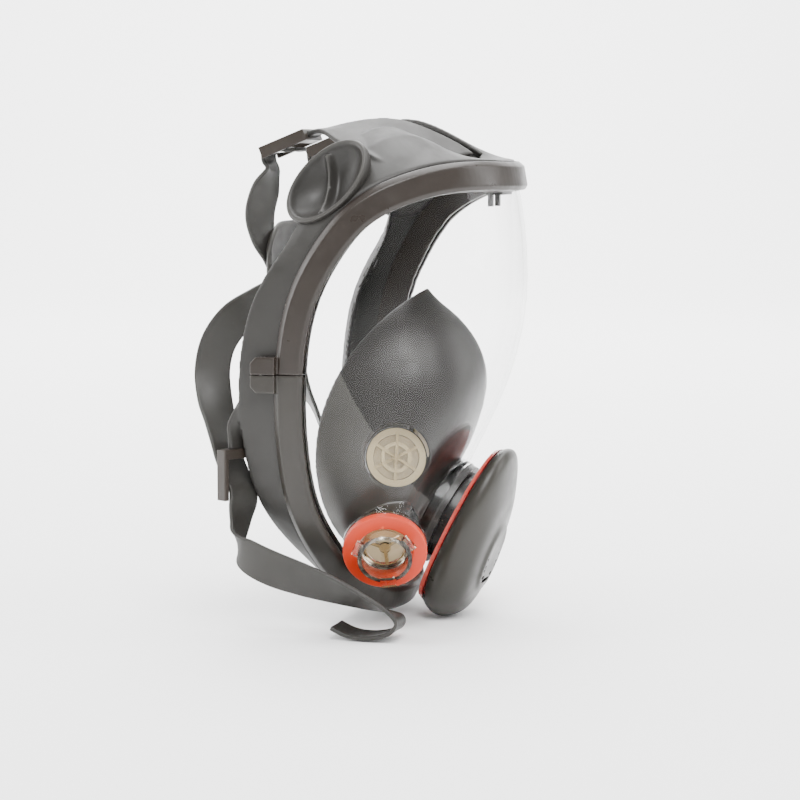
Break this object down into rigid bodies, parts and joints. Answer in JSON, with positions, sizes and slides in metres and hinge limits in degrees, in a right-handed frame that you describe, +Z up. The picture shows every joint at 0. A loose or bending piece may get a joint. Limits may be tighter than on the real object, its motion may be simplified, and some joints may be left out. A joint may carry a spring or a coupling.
{
  "type": "full face respirator",
  "caption": "Full-face respirator: clear curved lens in a two-part frame, rubber face seal and nose cup, side filter ports, oval exhalation cover and strap harness.",
  "frame": {"origin": "lowest point of the exhalation cover, on the mirror plane, where it stands on the floor", "axes": "+X the way the visor faces, +Y the wearer's left, +Z up; the plane Y = 0 is the mirror plane"},
  "size_m": [0.1599, 0.1854, 0.2642],
  "materials": {
    "lens": "clear polycarbonate, gloss",
    "upper_frame": "moulded, satin",
    "lower_frame": "moulded, satin",
    "screws": "machined",
    "seal": "matt moulded rubber",
    "nose_cup": "matt moulded rubber",
    "hub": "translucent tan, satin",
    "gasket": "smooth orange-red rubber",
    "valve_cream": "moulded, satin",
    "flap": "thin silicone rubber",
    "adapter": "moulded, satin",
    "washer": "matt",
    "cover_ring": "moulded, satin",
    "cover": "moulded, satin",
    "harness": "matt moulded rubber",
    "buckle": "moulded, satin",
    "steel": "polished",
    "clip": "moulded, satin"
  },
  "bodies": {
    "mask": {"lens": "lens", "upper_frame": "upper_frame", "lower_frame": "lower_frame", "frame_screws": "screws", "frame_nuts": "screws", "face_seal": "seal", "nose_cup": "nose_cup", "exhalation_adapter": "adapter", "adapter_washer": "washer", "exhalation_valve_seat": "valve_cream", "cover_ring": "cover_ring", "head_harness": "harness", "spectacle_clip": "clip", "right_bayonet_hub": "hub", "right_port_gasket": "gasket", "right_cup_valve": "valve_cream", "right_upper_buckle": "buckle", "right_lower_buckle": "buckle", "left_bayonet_hub": "hub", "left_port_gasket": "gasket", "left_cup_valve": "valve_cream", "left_upper_buckle": "buckle", "left_lower_buckle": "buckle"},
    "exhalation_flap": {"exhalation_flap": "flap"},
    "exhalation_cover": {"exhalation_cover": "cover"},
    "right_inhalation_flap": {"right_inhalation_flap": "flap"},
    "right_cup_flap": {"right_cup_flap": "flap"},
    "right_upper_buckle_bar": {"right_upper_buckle_bar": "steel"},
    "right_lower_buckle_bar": {"right_lower_buckle_bar": "steel"},
    "left_inhalation_flap": {"left_inhalation_flap": "flap"},
    "left_cup_flap": {"left_cup_flap": "flap"},
    "left_upper_buckle_bar": {"left_upper_buckle_bar": "steel"},
    "left_lower_buckle_bar": {"left_lower_buckle_bar": "steel"}
  },
  "joints": [
    {"name": "exhalation_cover_pull", "type": "slide", "parent": "mask", "child": "exhalation_cover", "axis": [0.895, 0, -0.446], "range_m": [0, 0.032]},
    {"name": "exhalation_flap_lift", "type": "slide", "parent": "mask", "child": "exhalation_flap", "axis": [0.895, 0, -0.446], "range_m": [0, 0.0025], "stiffness_N_per_m": 40},
    {"name": "right_inhalation_flap_lift", "type": "slide", "parent": "mask", "child": "right_inhalation_flap", "axis": [-0.2669, 0.8736, 0.4068], "range_m": [0, 0.0016], "stiffness_N_per_m": 30},
    {"name": "left_inhalation_flap_lift", "type": "slide", "parent": "mask", "child": "left_inhalation_flap", "axis": [-0.2669, -0.8736, 0.4068], "range_m": [0, 0.0016], "stiffness_N_per_m": 30},
    {"name": "right_cup_flap_lift", "type": "slide", "parent": "mask", "child": "right_cup_flap", "axis": [-0.341, 0.9226, -0.1805], "range_m": [0, 0.0015], "stiffness_N_per_m": 30},
    {"name": "left_cup_flap_lift", "type": "slide", "parent": "mask", "child": "left_cup_flap", "axis": [-0.341, -0.9226, -0.1805], "range_m": [0, 0.0015], "stiffness_N_per_m": 30},
    {"name": "right_upper_bar_slip", "type": "slide", "parent": "mask", "child": "right_upper_buckle_bar", "axis": [-0.9292, 0, -0.3697], "range_m": [0, 0.0012]},
    {"name": "right_lower_bar_slip", "type": "slide", "parent": "mask", "child": "right_lower_buckle_bar", "axis": [0, 0, -1], "range_m": [0, 0.002]},
    {"name": "left_upper_bar_slip", "type": "slide", "parent": "mask", "child": "left_upper_buckle_bar", "axis": [-0.9292, 0, -0.3697], "range_m": [0, 0.0012]},
    {"name": "left_lower_bar_slip", "type": "slide", "parent": "mask", "child": "left_lower_buckle_bar", "axis": [0, 0, -1], "range_m": [0, 0.002]}
  ]
}
